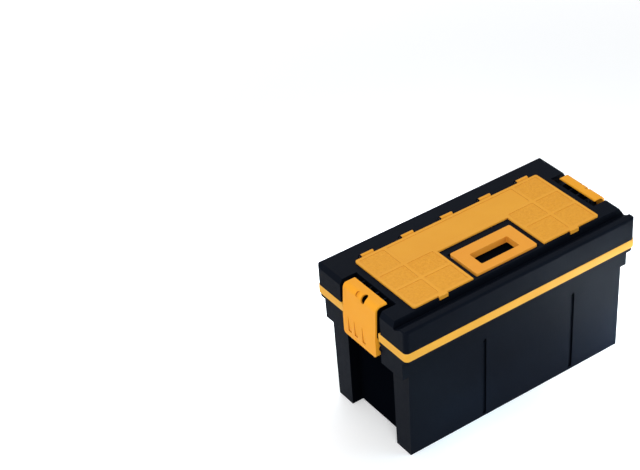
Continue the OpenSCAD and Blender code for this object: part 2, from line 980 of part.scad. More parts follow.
module hinge_slot(place) {
  spread = lug_width / 2 + lug_gap;
  reach = lug_radius + slot_gap;
  box([place - spread, hinge_back - reach, hinge_z - reach],
    [place + spread, hinge_back + reach, deck + cut]);
}

// Ears of one cover hinge.
module hinge_ears(place) {
  near = lug_width / 2 + lug_gap;
  difference() {
    for (side = [-near - lug_ear, near])
      box([place + side, hinge_back - lug_radius, deck - cut],
        [place + side + lug_ear, hinge_back + lug_radius, hinge_z + lug_radius - ear_trim]);
    cover_pin(place, cover_pin_radius + seat_clearance, cut);
  }
}

// Pin through one cover hinge.
module cover_pin(place, radius, extra) {
  half = lug_width / 2 + lug_gap + lug_ear - cover_pin_inset + extra;
  bar_along(place - half, place + half, hinge_back, hinge_z, radius);
}

module lid_shell() {
  color(black) {
    difference() {
      union() {
        difference() {
          lid_form();
          lid_hollow();
        }
        intersection() {
          union() {
            both_ends()
              bite_block();
            for (place = lug_places)
              hinge_block(place);
          }
          lid_form();
        }
      }
      deck_windows();
      thumb_slots();
      both_ends()
        bite_cut();
      for (place = lug_places)
        hinge_slot(place);
    }
    for (place = lug_places)
      hinge_ears(place);
    both_ends() {
      for (place = fin_places)
        bite_fin(place, fin_thickness);
      padlock_eye();
    }
  }
}

// ---- Organiser wells and handle cup ----

// One organiser well.
module well(x0, x1, y0, y1) {
  box([x0, y0, well_floor], [x1, y1, deck]);
}

// Tray of five wells under one wing of the cover.
module wing_tray() {
  low = well_floor - well_wall;
  difference() {
    union() {
      box([centre_half, well_front - well_wall, low],
        [well_half + well_wall, well_back + well_wall, well_rim]);
      box([wing_inner - well_wall, well_front - well_wall, low],
        [column_place, row_back + well_gap, well_rim]);
    }
    well(column_place + well_gap, well_half, row_back + well_gap, well_back);
    well(column_place + well_gap, well_half, row_front + well_gap, row_back - well_gap);
    well(column_place + well_gap, well_half, well_front, row_front - well_gap);
    well(wing_inner, column_place - well_gap, row_front + well_gap, row_back - well_gap);
    well(wing_inner, column_place - well_gap, well_front, row_front - well_gap);
  }
}

module right_well_tray() {
  color(dark)
    wing_tray();
}

module left_well_tray() {
  color(dark)
    mirror([1, 0, 0])
      wing_tray();
}

// Long well between the wings, closed at its ends by their walls.
module centre_well_tray() {
  low = well_floor - well_wall;
  front_half = wing_inner - well_wall;
  color(dark) {
    box([-centre_half, row_back + well_gap, low], [centre_half, well_back + well_wall, well_floor]);
    box([-centre_half, well_back, low], [centre_half, well_back + well_wall, well_rim]);
    box([-front_half, centre_front - well_wall, low], [front_half, centre_front, well_rim]);
    box([-front_half, centre_front - well_wall, low], [front_half, well_back, well_floor]);
  }
}

// Cup let into the deck that the carry handle folds down into.
module handle_cup() {
  color(black) {
    difference() {
      box([-cup_half, pocket_front - wall, pocket_floor - wall], [cup_half, pocket_back + wall, deck]);
      box([-pocket_half, pocket_front, pocket_floor], [pocket_half, pocket_back, deck + cut]);
      both_ends()
        bar_along(pocket_half - cut, pocket_half + pin_in_cup + bore_end_gap, ring_axis_y, ring_middle,
          handle_pin_radius + seat_clearance);
    }
    both_ends()
      box([handle_half - rest_pad_inset - rest_pad_length, pocket_front - cut, pocket_floor - cut],
        [handle_half - rest_pad_inset, -handle_front + rest_pad, ring_bottom]);
  }
}

// ---- Organiser cover ----

module cover_plan() {
  difference() {
    translate([0, (cover_back - cover_front) / 2])
      round_plan(2 * cover_half, cover_back + cover_front, cover_corner);
    flat_box([-notch_half, -cover_front - cut], [notch_half, notch_back]);
  }
}

// One sunk cell of the cover between two corners.
module cover_cell(low, high) {
  size = high - low;
  middle = (low + high) / 2;
  translate([middle.x, middle.y, 0])
    round_block(size.x, size.y, cell_corner, deck + cover_thickness, deck + cover_thickness + 2 * cover_rise);
}

// Sunk cells of one wing, inside the frame and between the raised lines.
module wing_cells() {
  half = cover_frame / 2;
  outer = [column_place + half, cover_half - cover_frame];
  inner = [notch_half + cover_frame, column_place - half];
  front = [-cover_front + cover_frame, row_front - half];
  middle = [row_front + half, row_back - half];
  for (across = [outer, inner], deep = [front, middle])
    cover_cell([across[0], deep[0]], [across[1], deep[1]]);
  cover_cell([outer[0], row_back + half], [outer[1], cover_back - cover_frame]);
}

// Sunk middle of the cover between the columns.
module middle_cell_cut() {
  half = cover_frame / 2;
  cover_cell([-column_place + half, row_back + half], [column_place - half, cover_back - cover_frame]);
}

// Tab at the front of the cover that a thumb lifts it by.
module thumb_tab() {
  top = deck + cover_thickness;
  front = -cover_front - thumb_reach;
  low_x = thumb_place - thumb_width / 2;
  high_x = thumb_place + thumb_width / 2;
  box([low_x, front, deck - thumb_drop], [high_x, front + thumb_lip, top]);
  box([low_x, front, deck], [high_x, -cover_front + thumb_pad, top + thumb_rise]);
}

// Barrel of one cover hinge and the strap that joins it to the cover.
module cover_lug(place) {
  half = lug_width / 2;
  bar_along(place - half, place + half, hinge_back, hinge_z, lug_radius);
  box([place - half, cover_back - cut, deck], [place + half, hinge_back, deck + cover_thickness]);
}

module organiser_cover() {
  bore_half = lug_width / 2 + cut;
  color(yellow)
    difference() {
      union() {
        difference() {
          translate([0, 0, deck])
            linear_extrude(cover_thickness + cover_rise)
              cover_plan();
          both_ends()
            wing_cells();
          middle_cell_cut();
        }
        both_ends()
          thumb_tab();
        for (place = lug_places)
          cover_lug(place);
      }
      for (place = lug_places)
        bar_along(place - bore_half, place + bore_half, hinge_back, hinge_z,
          cover_pin_radius + running_clearance);
    }
}

module cover_pins() {
  color(steel)
    for (place = lug_places)
      cover_pin(place, cover_pin_radius, 0);
}

// ---- Carry handle ----

module carry_handle() {
  ring_depth_middle = -(handle_front + handle_back) / 2;
  finger_depth = handle_depth - handle_bar_back - handle_bar_front;
  finger_middle = -handle_back - handle_bar_back - finger_depth / 2;
  color(orange)
    difference() {
      translate([0, ring_depth_middle, 0])
        round_block(handle_length, handle_depth, ring_corner, ring_bottom, ring_top);
      translate([0, finger_middle, 0])
        round_block(finger_length, finger_depth, finger_corner, ring_bottom - cut, ring_top + cut);
      both_ends()
        bar_along(handle_half - pin_in_ring - bore_end_gap, handle_half + cut, ring_axis_y, ring_middle,
          handle_pin_radius + running_clearance);
    }
}

module handle_pin() {
  bar_along(handle_half - pin_in_ring, pocket_half + pin_in_cup, ring_axis_y, ring_middle, handle_pin_radius);
}

module right_handle_pin() {
  color(steel)
    handle_pin();
}

module left_handle_pin() {
  color(steel)
    mirror([1, 0, 0])
      handle_pin();
}

base_tub();
left_latch();
right_latch();
left_latch_pin();
right_latch_pin();
tool_tray();
tray_handle();
lower_tray();
left_divider();
right_divider();
lid_shell();
left_well_tray();
right_well_tray();
centre_well_tray();
handle_cup();
organiser_cover();
cover_pins();
carry_handle();
left_handle_pin();
right_handle_pin();
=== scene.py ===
import math

import bmesh
import bpy
from mathutils import Matrix, Vector
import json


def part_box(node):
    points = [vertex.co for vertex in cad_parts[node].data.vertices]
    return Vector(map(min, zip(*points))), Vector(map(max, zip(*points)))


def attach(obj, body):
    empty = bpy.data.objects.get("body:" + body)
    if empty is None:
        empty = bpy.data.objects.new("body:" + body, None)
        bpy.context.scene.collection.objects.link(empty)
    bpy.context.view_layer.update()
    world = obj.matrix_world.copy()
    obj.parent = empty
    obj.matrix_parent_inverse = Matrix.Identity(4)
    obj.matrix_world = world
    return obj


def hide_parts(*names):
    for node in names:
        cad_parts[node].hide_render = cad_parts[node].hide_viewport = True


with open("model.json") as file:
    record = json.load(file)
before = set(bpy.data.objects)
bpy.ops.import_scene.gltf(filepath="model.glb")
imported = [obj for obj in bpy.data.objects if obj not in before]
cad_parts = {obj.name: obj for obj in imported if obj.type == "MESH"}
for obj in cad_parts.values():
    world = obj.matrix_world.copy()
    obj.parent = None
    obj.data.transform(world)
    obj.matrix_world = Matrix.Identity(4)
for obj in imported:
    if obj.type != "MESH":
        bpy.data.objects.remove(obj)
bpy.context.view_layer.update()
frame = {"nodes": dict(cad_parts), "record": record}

mm = 0.001
nodes = frame["nodes"]
bodyOf = {n: b for b, names in frame["record"]["behaviour"]["bodies"].items() for n in names}


nodeGap = 200


# nodes stand in one row, so that a tree can be read in the editor
def addNode(tree, kind, **settings):
    node = tree.nodes.new(kind)
    node.location.x = nodeGap * len(tree.nodes)
    for key, value in settings.items():
        setattr(node, key, value)
    return node


def fill(node, **inputs):
    for key, value in inputs.items():
        node.inputs[key.replace("_", " ")].default_value = value


def newSurface(name):
    material = bpy.data.materials.new(name)
    material.use_nodes = True
    tree = material.node_tree
    tree.nodes.clear()
    output = addNode(tree, "ShaderNodeOutputMaterial")
    shader = addNode(tree, "ShaderNodeBsdfPrincipled")
    tree.links.new(shader.outputs["BSDF"], output.inputs["Surface"])
    return material, tree, shader


def noiseAt(tree, coordinate, scale, detail, roughness, distortion=0.0):
    node = addNode(tree, "ShaderNodeTexNoise")
    fill(node, Scale=scale, Detail=detail, Roughness=roughness, Distortion=distortion)
    tree.links.new(coordinate, node.inputs["Vector"])
    return node.outputs["Fac"]


def rangeOf(tree, value, source, target, smooth=False):
    node = addNode(tree, "ShaderNodeMapRange")
    if smooth:
        node.interpolation_type = "SMOOTHSTEP"
    fill(node, From_Min=source[0], From_Max=source[1], To_Min=target[0], To_Max=target[1])
    tree.links.new(value, node.inputs["Value"])
    return node.outputs["Result"]


def mathOf(tree, operation, first, second):
    node = addNode(tree, "ShaderNodeMath", operation=operation)
    for slot, value in enumerate((first, second)):
        if isinstance(value, (int, float)):
            node.inputs[slot].default_value = value
        else:
            tree.links.new(value, node.inputs[slot])
    return node.outputs[0]


def mixColour(tree, factor, first, second):
    node = addNode(tree, "ShaderNodeMix", data_type="RGBA")
    tree.links.new(factor, node.inputs["Factor"])
    for slot, value in (("A", first), ("B", second)):
        target = next(s for s in node.inputs if s.name == slot and s.type == "RGBA")
        if isinstance(value, tuple):
            target.default_value = (*value, 1)
        else:
            tree.links.new(value, target)
    return next(s for s in node.outputs if s.type == "RGBA")


def bumpOf(tree, height, strength, distance, below=None):
    node = addNode(tree, "ShaderNodeBump")
    fill(node, Strength=strength, Distance=distance)
    tree.links.new(height, node.inputs["Height"])
    if below is not None:
        tree.links.new(below, node.inputs["Normal"])
    return node.outputs["Normal"]


# what all moulded plastics share; each "where" is the part of a noise that shows
plasticRecipe = dict(
    cloud=dict(detail=3.0, roughness=0.55, distortion=0.4),
    grain=dict(detail=2.5, roughness=0.6),
    flow=dict(detail=2.0, roughness=0.5),
    scuff=dict(detail=4.0, roughness=0.7, distortion=1.2),
    cloudWhere=(0.3, 0.7), fleckWhere=(0.35, 0.75), wornWhere=(0.42, 0.68),
    roughWhere=(0.3, 0.7), paintedShadeWhere=(0.35, 0.95),
    paintedShadeSamples=6, wornRoughness=0.12, pebbleShare=0.6, pebbleSmoothness=0.6)


def mouldedPlastic(name, look):
    recipe = plasticRecipe
    material, tree, shader = newSurface(name)
    place = addNode(tree, "ShaderNodeTexCoord").outputs["Object"]
    wear_and_highlight = addNode(tree, "ShaderNodeAttribute", attribute_name="wear_and_highlight").outputs["Fac"]
    cloud = noiseAt(tree, place, look["cloudScale"], **recipe["cloud"])
    grain = noiseAt(tree, place, look["grainScale"], **recipe["grain"])
    flow = noiseAt(tree, place, look["flowScale"], **recipe["flow"])
    scuff = noiseAt(tree, place, look["scuffScale"], **recipe["scuff"])
    pebbles = addNode(tree, "ShaderNodeTexVoronoi", feature="SMOOTH_F1")
    fill(pebbles, Scale=look["pebbleScale"], Smoothness=recipe["pebbleSmoothness"],
         Randomness=1.0)
    tree.links.new(place, pebbles.inputs["Vector"])

    # colour: cloudy and flecked, with painted shade that darkens corners, creases and recesses,
    # and paler worn edges that are partly a painted edge highlight
    shade = mixColour(tree, rangeOf(tree, cloud, recipe["cloudWhere"], (0.0, 1.0)),
                      look["deep"], look["colour"])
    fleck = rangeOf(tree, grain, recipe["fleckWhere"], (0.0, look["fleckAmount"]))
    speckled = mixColour(tree, fleck, shade, look["fleck"])
    # painted shade: where ambient occlusion is low, a darker colour is laid into corners,
    # creases and recesses
    corner = addNode(tree, "ShaderNodeAmbientOcclusion", samples=recipe["paintedShadeSamples"],
                     only_local=True)
    fill(corner, Distance=look["paintedShadeReach"])
    paintedShadeMask = rangeOf(tree, corner.outputs["AO"], recipe["paintedShadeWhere"],
                   (look["paintedShadeAmount"], 0.0), smooth=True)
    withPaintedShade = mixColour(tree, paintedShadeMask, speckled, look["corner"])
    # paler worn edges: scuffed wear that is partly a painted edge highlight
    scuffed = rangeOf(tree, scuff, recipe["wornWhere"], (0.0, look["wearAndHighlightAmount"]), smooth=True)
    wornAndHighlit = mathOf(tree, "MULTIPLY", wear_and_highlight, scuffed)
    tree.links.new(mixColour(tree, wornAndHighlit, withPaintedShade, look["wornAndHighlit"]), shader.inputs["Base Color"])

    rough = rangeOf(tree, scuff, recipe["roughWhere"],
                    (look["rough"] - look["roughSpread"], look["rough"] + look["roughSpread"]))
    rougher = mathOf(tree, "MULTIPLY", wornAndHighlit, recipe["wornRoughness"])
    tree.links.new(mathOf(tree, "ADD", rough, rougher), shader.inputs["Roughness"])

    # relief: fine moulded grain over a slow flow
    domes = mathOf(tree, "MULTIPLY", pebbles.outputs["Distance"], recipe["pebbleShare"])
    fine = bumpOf(tree, mathOf(tree, "ADD", domes, grain), look["bump"], look["bumpDepth"])
    relief = bumpOf(tree, flow, look["flowBump"], look["flowDepth"], fine)
    tree.links.new(relief, shader.inputs["Normal"])
    fill(shader, IOR=1.5, Specular_IOR_Level=look["specular"])
    return material


def brushedSteel(name, look):
    material, tree, shader = newSurface(name)
    streak = addNode(tree, "ShaderNodeMapping")
    fill(streak, Scale=look["streak"])
    tree.links.new(addNode(tree, "ShaderNodeTexCoord").outputs["Object"],
                   streak.inputs["Vector"])
    lines = noiseAt(tree, streak.outputs["Vector"], **look["lines"])
    tree.links.new(mixColour(tree, lines, look["dark"], look["bright"]),
                   shader.inputs["Base Color"])
    tree.links.new(rangeOf(tree, lines, look["roughWhere"], look["rough"]),
                   shader.inputs["Roughness"])
    tree.links.new(bumpOf(tree, lines, look["bump"], look["bumpDepth"]),
                   shader.inputs["Normal"])
    fill(shader, Metallic=1.0)
    return material


# in each look below, corner is the colour of the painted shade in corners and hollows, and its
# reach and amount follow it
blackLook = dict(
    colour=(0.0030, 0.0050, 0.0098), deep=(0.0023, 0.0038, 0.0076), cloudScale=9.0,
    fleck=(0.014, 0.018, 0.028), fleckAmount=0.16, grainScale=1500.0,
    wornAndHighlit=(0.034, 0.040, 0.052), wearAndHighlightAmount=0.5, scuffScale=60.0,
    corner=(0.0012, 0.0016, 0.0030), paintedShadeReach=0.070, paintedShadeAmount=0.9,
    rough=0.44, roughSpread=0.05, specular=0.020,
    pebbleScale=900.0, bump=0.35, bumpDepth=0.00025,
    flowScale=14.0, flowBump=0.12, flowDepth=0.0012)
# painted shade for the end recesses: darker, and with no reflection
recessShadeLook = dict(
    blackLook, colour=(0.0012, 0.0018, 0.0034), deep=(0.0010, 0.0014, 0.0028),
    fleckAmount=0.06, rough=0.85, specular=0.0)
innerLook = dict(
    blackLook, colour=(0.0028, 0.0044, 0.0084), deep=(0.0022, 0.0034, 0.0066),
    rough=0.50, wearAndHighlightAmount=0.3)
yellowLook = dict(
    colour=(0.86, 0.390, 0.037), deep=(0.82, 0.355, 0.031), cloudScale=8.0,
    fleck=(0.90, 0.44, 0.07), fleckAmount=0.20, grainScale=1300.0,
    wornAndHighlit=(0.95, 0.56, 0.18), wearAndHighlightAmount=0.6, scuffScale=50.0,
    corner=(0.46, 0.125, 0.010), paintedShadeReach=0.012, paintedShadeAmount=0.7,
    rough=0.44, roughSpread=0.05, specular=0.10,
    pebbleScale=800.0, bump=0.28, bumpDepth=0.00022,
    flowScale=12.0, flowBump=0.12, flowDepth=0.0012)
# partly painted light: the latch is a more saturated orange than the cover, and its extra
# brightness stands in for the light on the lit end faces
latchBrightenedLook = dict(
    yellowLook, colour=(0.96, 0.405, 0.022), deep=(0.93, 0.365, 0.018),
    paintedShadeReach=0.016, paintedShadeAmount=0.9)
# the tray's painted shade reaches far, so its inside is darkened
trayLook = dict(
    yellowLook, colour=(0.89, 0.450, 0.050), deep=(0.82, 0.410, 0.045),
    corner=(0.70, 0.200, 0.012), paintedShadeReach=0.120, paintedShadeAmount=0.85)
handleLook = dict(
    yellowLook, colour=(0.90, 0.370, 0.040), deep=(0.86, 0.330, 0.033),
    rough=0.42, paintedShadeReach=0.030)
stippleLook = dict(
    yellowLook, colour=(0.84, 0.375, 0.033), deep=(0.75, 0.305, 0.024), cloudScale=160.0,
    fleckAmount=0.45, grainScale=420.0, pebbleScale=300.0, bump=0.6, bumpDepth=0.0006,
    rough=0.52, paintedShadeReach=0.003)
steelLook = dict(
    dark=(0.42, 0.43, 0.45), bright=(0.66, 0.67, 0.69), streak=(8.0, 1.0, 8.0),
    lines=dict(scale=900.0, detail=3.0, roughness=0.6),
    roughWhere=(0.3, 0.7), rough=(0.24, 0.42), bump=0.25, bumpDepth=0.00005)

blackPlastic = mouldedPlastic("black_moulded_plastic", blackLook)
innerPlastic = mouldedPlastic("black_inner_plastic", innerLook)
recessShadePlastic = mouldedPlastic("black_recess_painted_shade", recessShadeLook)
yellowPlastic = mouldedPlastic("yellow_cover_plastic", yellowLook)
latchBrightenedPlastic = mouldedPlastic("yellow_latch_brightened_plastic", latchBrightenedLook)
trayPlastic = mouldedPlastic("yellow_tray_plastic", trayLook)
handlePlastic = mouldedPlastic("orange_handle_plastic", handleLook)
stipplePlastic = mouldedPlastic("yellow_stippled_plastic", stippleLook)
pinSteel = brushedSteel("pin_steel", steelLook)
print("materials made")


def linkNew(name, content):
    piece = bpy.data.objects.new(name, content)
    bpy.context.scene.collection.objects.link(piece)
    return piece


def meshOf(name, form):
    mesh = bpy.data.meshes.new(name)
    form.to_mesh(mesh)
    form.free()
    return mesh


# turns what the modifiers make into the piece's own plain mesh
def settle(piece):
    shown = bpy.context.evaluated_depsgraph_get()
    done = bpy.data.meshes.new_from_object(
        piece.evaluated_get(shown), preserve_all_data_layers=True, depsgraph=shown)
    old = piece.data
    piece.modifiers.clear()
    piece.data = done
    bpy.data.meshes.remove(old)


# how near two corners or two levels count as the same, and how many degrees count as flat
nearness = dict(weld=0.01 * mm, sliver=0.008 * mm, level=0.02 * mm, flatTurn=0.6)


# a node's own mesh, with its loose triangles joined into flat faces
def cleanCopy(name):
    form = bmesh.new()
    form.from_mesh(nodes[name].data)
    bmesh.ops.remove_doubles(form, verts=form.verts, dist=nearness["weld"])
    bmesh.ops.dissolve_limit(form, angle_limit=math.radians(nearness["flatTurn"]),
                             verts=form.verts, edges=form.edges, delimit={"NORMAL"})
    form.normal_update()
    return form


# sharp edges that run on into one another, because they share one rounding
def edgeChains(form, sharpTurn, straight):
    signed = {e: e.calc_face_angle_signed(0.0) for e in form.edges if len(e.link_faces) == 2}
    sharp = {e for e, turn in signed.items() if abs(turn) > sharpTurn}
    chains, seen = [], set()
    for start in form.edges:
        if start not in sharp or start in seen:
            continue
        outward = signed[start] > 0
        chain, waiting = [], [start]
        seen.add(start)
        while waiting:
            edge = waiting.pop()
            chain.append(edge)
            for corner in edge.verts:
                ahead = (corner.co - edge.other_vert(corner).co).normalized()
                for other in corner.link_edges:
                    if other in seen or other not in sharp or (signed[other] > 0) != outward:
                        continue
                    onward = (other.other_vert(corner).co - corner.co).normalized()
                    if ahead.dot(onward) > straight:
                        seen.add(other)
                        waiting.append(other)
        chains.append((chain, outward, sum(e.calc_length() for e in chain)))
    return chains


# long outer edges get the widest rounding, short ones less, and inner corners their own
def roundedMoulding(node, edges, material):
    form = cleanCopy(node)
    weights = form.edges.layers.float.new("bevel_weight_edge")
    widest = max(edges["long"], edges["short"], edges["inner"])
    sharpTurn = math.radians(edges["turn"])
    for chain, outward, length in edgeChains(form, sharpTurn, edges["straight"]):
        if not outward:
            width = edges["inner"]
        else:
            width = edges["long"] if length > edges["longFrom"] else edges["short"]
        for edge in chain:
            edge[weights] = width / widest
    mesh = meshOf(node + "_moulding", form)
    mesh.materials.append(material)
    mesh.materials.append(material)  # the second slot marks the rounded faces for a while
    piece = linkNew(node + "_moulding", mesh)
    bend = piece.modifiers.new("round", "BEVEL")
    bend.limit_method = "WEIGHT"
    bend.width = widest
    bend.segments = edges["steps"]
    bend.use_clamp_overlap = True
    bend.material = 1
    settle(piece)
    closeSlivers(piece.data)
    markWearAndHighlight(piece.data)
    smoothNormals(piece)
    # the base's end recesses get painted shade
    if node == "base_tub":
        paintRecessShade(piece.data)
    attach(piece, bodyOf[node])
    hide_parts(node)
    return piece


# faces that the rounding pinched to nothing
def closeSlivers(mesh):
    form = bmesh.new()
    form.from_mesh(mesh)
    bmesh.ops.remove_doubles(form, verts=form.verts, dist=nearness["sliver"])
    form.to_mesh(mesh)
    form.free()


# the rounded faces carry the wear, which also paints a paler edge highlight, in an attribute
# that the plastics read
def markWearAndHighlight(mesh):
    wear_and_highlight = mesh.attributes.new("wear_and_highlight", "FLOAT", "FACE")
    wear_and_highlight.data.foreach_set("value", [float(face.material_index) for face in mesh.polygons])
    for face in mesh.polygons:
        face.material_index = 0
    mesh.materials.pop()


# wide faces stay flat and the roundings between them take the turn
def smoothNormals(piece):
    for face in piece.data.polygons:
        face.use_smooth = True
    weigh = piece.modifiers.new("even", "WEIGHTED_NORMAL")
    weigh.mode = "FACE_AREA"
    weigh.weight = 80
    weigh.keep_sharp = False
    settle(piece)


# the end recesses get painted shade: a darker black with no reflection and a matt roughness,
# from their back wall to just inside the end wall
recess = dict(halfWidth=78.5 * mm, back=255.5 * mm, front=279.5 * mm)


def paintRecessShade(mesh):
    mesh.materials.append(recessShadePlastic)
    for face in mesh.polygons:
        x, y = face.center.xy
        if abs(y) < recess["halfWidth"] and recess["back"] < abs(x) < recess["front"]:
            face.material_index = 1


# widths of the roundings: long from longFrom up; a fold is sharp from turn degrees on, and
# edges run on into one another down to a cosine of straight
commonEdges = dict(long=1.4 * mm, short=0.8 * mm, inner=0.7 * mm, longFrom=60 * mm,
                   steps=3, turn=28, straight=0.94)
fineEdges = dict(commonEdges, long=0.7 * mm, short=0.5 * mm, inner=0.9 * mm)
coverEdges = dict(commonEdges, long=0.45 * mm, short=0.45 * mm, inner=0.3 * mm)
handleEdges = dict(commonEdges, long=2.4 * mm, short=2.4 * mm, steps=4)
mouldings = (
    (("base_tub",), dict(commonEdges, long=1.6 * mm), blackPlastic, "black_plastic"),
    (("lid_shell",), dict(commonEdges, long=1.5 * mm), blackPlastic, "black_plastic"),
    (("handle_cup",), dict(commonEdges, long=0.9 * mm), blackPlastic, "black_plastic"),
    (("lower_tray",), commonEdges, innerPlastic, "black_plastic"),
    (("left_divider", "right_divider", "left_well_tray", "right_well_tray",
      "centre_well_tray"), fineEdges, innerPlastic, "black_plastic"),
    (("tool_tray",), dict(commonEdges, long=1.2 * mm), trayPlastic, "yellow_plastic"),
    (("tray_handle",), dict(commonEdges, long=1.8 * mm, short=1.0 * mm), latchBrightenedPlastic,
     "yellow_plastic"),
    (("organiser_cover",), coverEdges, yellowPlastic, "yellow_plastic"),
    (("carry_handle",), handleEdges, handlePlastic, "yellow_plastic"),
    (("left_latch", "right_latch"), dict(commonEdges, long=1.0 * mm, short=0.6 * mm),
     latchBrightenedPlastic, "yellow_plastic"),
    (("left_latch_pin", "right_latch_pin"),
     dict(commonEdges, long=0.4 * mm, short=0.4 * mm), pinSteel, "steel"),
    (("cover_pins",), dict(commonEdges, long=0.3 * mm, short=0.3 * mm), pinSteel, "steel"),
    (("left_handle_pin", "right_handle_pin"),
     dict(commonEdges, long=0.5 * mm, short=0.5 * mm), pinSteel, "steel"))
for names, edges, material, slot in mouldings:
    for node in names:
        piece = roundedMoulding(node, edges, material)
        print(piece.name, len(piece.data.polygons), "faces")


# a node tree with a geometry socket at each end and named inputs between them
def growTree(name, inputs):
    tree = bpy.data.node_groups.new(name, "GeometryNodeTree")
    kinds = {"Geometry": "Geometry", **inputs, "Material": "Material"}
    for label, kind in kinds.items():
        tree.interface.new_socket(name=label, in_out="INPUT", socket_type="NodeSocket" + kind)
    tree.interface.new_socket(name="Geometry", in_out="OUTPUT",
                              socket_type="NodeSocketGeometry")
    return tree, addNode(tree, "NodeGroupInput")


# joins named inputs of the tree to sockets of one node
def feed(tree, entry, node, sockets):
    for label, socket in sockets.items():
        tree.links.new(entry.outputs[label], node.inputs[socket])
    return node


# every tree ends in real geometry with its material on
def finishTree(tree, entry, geometry):
    solid = addNode(tree, "GeometryNodeRealizeInstances")
    coat = feed(tree, entry, addNode(tree, "GeometryNodeSetMaterial"), {"Material": "Material"})
    leave = addNode(tree, "NodeGroupOutput")
    tree.links.new(geometry, solid.inputs["Geometry"])
    tree.links.new(solid.outputs["Geometry"], coat.inputs["Geometry"])
    tree.links.new(coat.outputs["Geometry"], leave.inputs["Geometry"])
    return tree


def grownMesh(name, form, tree, values):
    grower = linkNew(name, meshOf(name, form))
    grow = grower.modifiers.new("grow", "NODES")
    grow.node_group = tree
    sockets = {item.name: item.identifier for item in tree.interface.items_tree
               if item.in_out == "INPUT"}
    for label, value in values.items():
        grow[sockets[label]] = value
    settle(grower)
    grown = grower.data
    bpy.data.objects.remove(grower)
    return grown


def joinedPiece(name, meshes, material, body):
    whole = bmesh.new()
    for mesh in meshes:
        whole.from_mesh(mesh)
        bpy.data.meshes.remove(mesh)
    bmesh.ops.recalc_face_normals(whole, faces=whole.faces)
    for face in whole.faces:
        face.material_index = 0
    joined = meshOf(name, whole)
    joined.materials.append(material)
    piece = linkNew(name, joined)
    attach(piece, body)
    print(name, len(joined.polygons), "faces")


# the form is repeated along a line
def rowTree():
    tree, entry = growTree("row_of_bars", {"Count": "Int", "Start": "Vector", "Step": "Vector"})
    line = feed(tree, entry, addNode(tree, "GeometryNodeMeshLine"),
                {"Count": "Count", "Start": "Start Location", "Step": "Offset"})
    row = feed(tree, entry, addNode(tree, "GeometryNodeInstanceOnPoints"),
               {"Geometry": "Instance"})
    tree.links.new(line.outputs["Mesh"], row.inputs["Points"])
    return finishTree(tree, entry, row.outputs["Instances"])


# the form's edges become a square lip with rounded corners
def pathTree():
    tree, entry = growTree("lip_on_path", {"Corner": "Float", "Steps": "Int",
                                           "Thickness": "Float"})
    path = feed(tree, entry, addNode(tree, "GeometryNodeMeshToCurve"), {"Geometry": "Mesh"})
    turn = feed(tree, entry, addNode(tree, "GeometryNodeFilletCurve", mode="POLY"),
                {"Corner": "Radius", "Steps": "Count"})
    ring = feed(tree, entry, addNode(tree, "GeometryNodeCurvePrimitiveQuadrilateral"),
                {"Thickness": "Width"})
    feed(tree, entry, ring, {"Thickness": "Height"})
    sweep = addNode(tree, "GeometryNodeCurveToMesh")
    tree.links.new(path.outputs["Curve"], turn.inputs["Curve"])
    tree.links.new(turn.outputs["Curve"], sweep.inputs["Curve"])
    tree.links.new(ring.outputs["Curve"], sweep.inputs["Profile Curve"])
    return finishTree(tree, entry, sweep.outputs["Mesh"])


# low domes are scattered over the upward faces of the form
def pebbleTree():
    tree, entry = growTree("pebbled_cell", {
        "Spacing": "Float", "Density": "Float", "Upward": "Float", "Sides": "Int",
        "Foot": "Float", "Crown": "Float", "Height": "Float", "Smallest": "Float",
        "Largest": "Float", "Seed": "Int"})
    scatter = feed(
        tree, entry,
        addNode(tree, "GeometryNodeDistributePointsOnFaces", distribute_method="POISSON"),
        {"Geometry": "Mesh", "Spacing": "Distance Min", "Density": "Density Max",
         "Seed": "Seed"})
    facing = addNode(tree, "GeometryNodeInputNormal")
    parts = addNode(tree, "ShaderNodeSeparateXYZ")
    upward = feed(tree, entry, addNode(tree, "FunctionNodeCompare"), {"Upward": "B"})
    tree.links.new(facing.outputs["Normal"], parts.inputs["Vector"])
    tree.links.new(parts.outputs["Z"], upward.inputs["A"])
    tree.links.new(upward.outputs["Result"], scatter.inputs["Selection"])
    dome = feed(tree, entry, addNode(tree, "GeometryNodeMeshCone"),
                {"Sides": "Vertices", "Crown": "Radius Top", "Foot": "Radius Bottom",
                 "Height": "Depth"})
    spread = feed(tree, entry, addNode(tree, "FunctionNodeRandomValue", data_type="FLOAT"),
                  {"Seed": "Seed"})
    for label, socket in (("Smallest", "Min"), ("Largest", "Max")):
        number = next(i for i in spread.inputs if i.name == socket and i.type == "VALUE")
        tree.links.new(entry.outputs[label], number)
    domes = addNode(tree, "GeometryNodeInstanceOnPoints")
    tree.links.new(scatter.outputs["Points"], domes.inputs["Points"])
    tree.links.new(dome.outputs["Mesh"], domes.inputs["Instance"])
    size = next(o for o in spread.outputs if o.enabled and o.type == "VALUE")
    tree.links.new(size, domes.inputs["Scale"])
    whole = addNode(tree, "GeometryNodeJoinGeometry")
    tree.links.new(entry.outputs["Geometry"], whole.inputs["Geometry"])
    tree.links.new(domes.outputs["Instances"], whole.inputs["Geometry"])
    return finishTree(tree, entry, whole.outputs["Geometry"])


# the cover's cells are its level faces at one height with more than the least area, apart
# from the bar along the hinge; an inset's rim is smaller than a cell; areas in square metres
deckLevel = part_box("handle_cup")[1].z
cell = dict(rise=3.0 * mm, upright=0.9, least=0.0020, barFrom=0.006, rimBelow=0.0015,
            inset=0.4 * mm, lift=0.12 * mm, sunk=0.5 * mm)
pebble = {"Spacing": 2.5 * mm, "Density": 400000.0, "Upward": 0.5, "Sides": 6,
          "Foot": 1.05 * mm, "Crown": 0.5 * mm, "Height": 0.28 * mm, "Smallest": 0.75,
          "Largest": 1.25, "Seed": 7, "Material": stipplePlastic}


def dropFaces(form, faces):
    bmesh.ops.delete(form, geom=faces, context="FACES")


